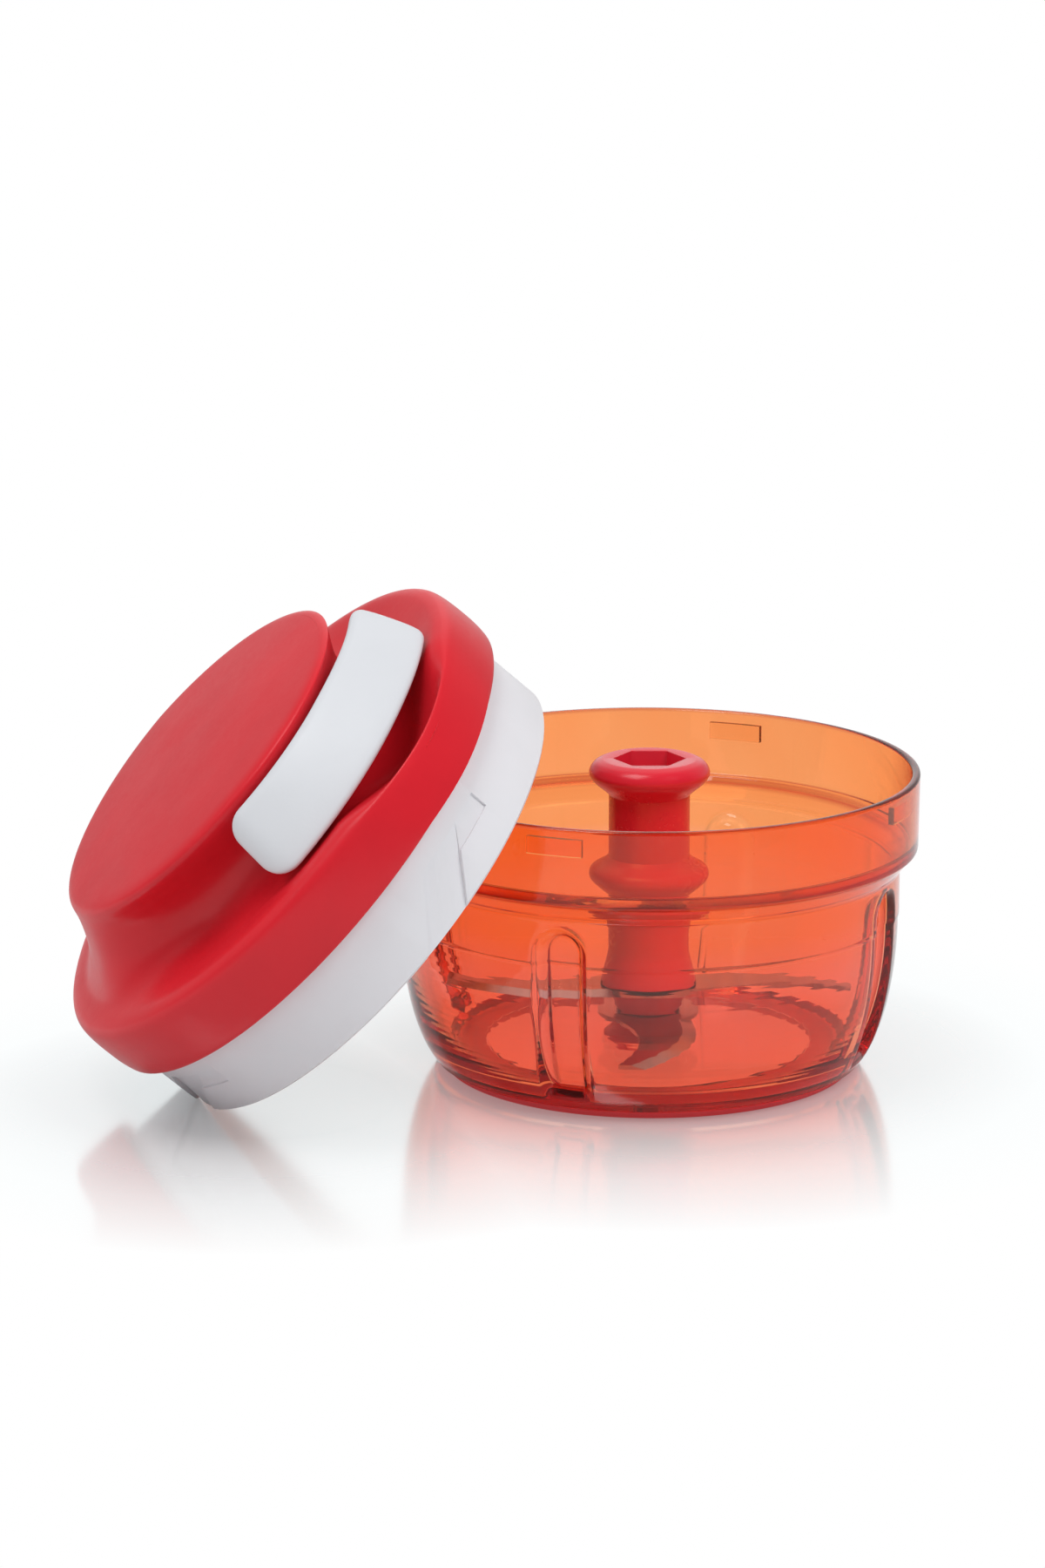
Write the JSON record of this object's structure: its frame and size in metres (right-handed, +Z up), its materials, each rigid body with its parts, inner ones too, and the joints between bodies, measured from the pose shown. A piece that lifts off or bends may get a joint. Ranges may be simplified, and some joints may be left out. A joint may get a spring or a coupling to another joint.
{
  "type": "pull-cord food chopper",
  "caption": "Pull-cord food chopper: clear orange bowl with a lift-out blade shaft, and a red cover with a white pull handle, taken off and leaning on the bowl.",
  "frame": {"origin": "centre of the bowl's flat rest pad, on the table", "axes": "+Z up the bowl's axis, -X towards the leaning cover, -Y towards the front"},
  "size_m": [0.1951, 0.1505, 0.1135],
  "materials": {
    "orange_bowl": "clear tinted, glossy",
    "foot_rubber": "satin",
    "shaft_red": "glossy",
    "cover_red": "satin",
    "white_plastic": "satin",
    "cord": "braided",
    "nylon": "plain",
    "steel": "brushed"
  },
  "bodies": {
    "bowl": {"bowl": "orange_bowl", "foot_ring": "foot_rubber", "centre_pin": "steel"},
    "bush": {"blade_bush": "nylon"},
    "blades": {"blade_shaft": "shaft_red", "blade_lower": "steel", "blade_upper": "steel"},
    "cover": {"cover_shell": "cover_red", "inner_ring": "white_plastic", "cover_screw_1": "steel", "cover_screw_2": "steel", "cover_screw_3": "steel", "cover_screw_4": "steel", "spindle": "steel", "spindle_screw": "steel", "spindle_washer": "steel", "spool_washer": "steel", "spring_arbor": "steel", "spiral_spring": "steel", "cord_eyelet": "steel", "cord_run": "cord"},
    "handle": {"handle_grip": "white_plastic", "handle_plug": "white_plastic", "cord_knot": "cord"},
    "spool": {"spool": "nylon", "barrel_lid": "nylon", "drive_plug": "shaft_red", "cord_winding": "cord"}
  },
  "joints": [
    {"name": "blade_lift", "type": "slide", "parent": "bowl", "child": "bush", "axis": [0, 0, 1], "range_m": [0, 0.03]},
    {"name": "blade_spin", "type": "hinge", "parent": "bush", "child": "blades", "pos_m": [0, 0, 0.03], "axis": [0, 0, 1], "continuous": true},
    {"name": "cover_lift", "type": "slide", "parent": "bowl", "child": "cover", "axis": [0, 0, 1], "range_m": [0, 0.11]},
    {"name": "handle_pull", "type": "slide", "parent": "cover", "child": "handle", "axis": [0.5546, -0.7218, 0.414], "range_m": [0, 0.3], "stiffness_N_per_m": 15, "springref_m": -0.1, "deforming": ["cord_run"]},
    {"name": "spool_spin", "type": "hinge", "parent": "cover", "child": "spool", "pos_m": [-0.0654, -0.02, 0.04483], "axis": [-0.7281, -0.1802, 0.6613], "range_deg": [0, 1075], "deforming": ["spiral_spring"]}
  ],
  "couplings": [
    {"joint": "spool_spin", "follows": "handle_pull", "rad_per_m": 62.5}
  ]
}
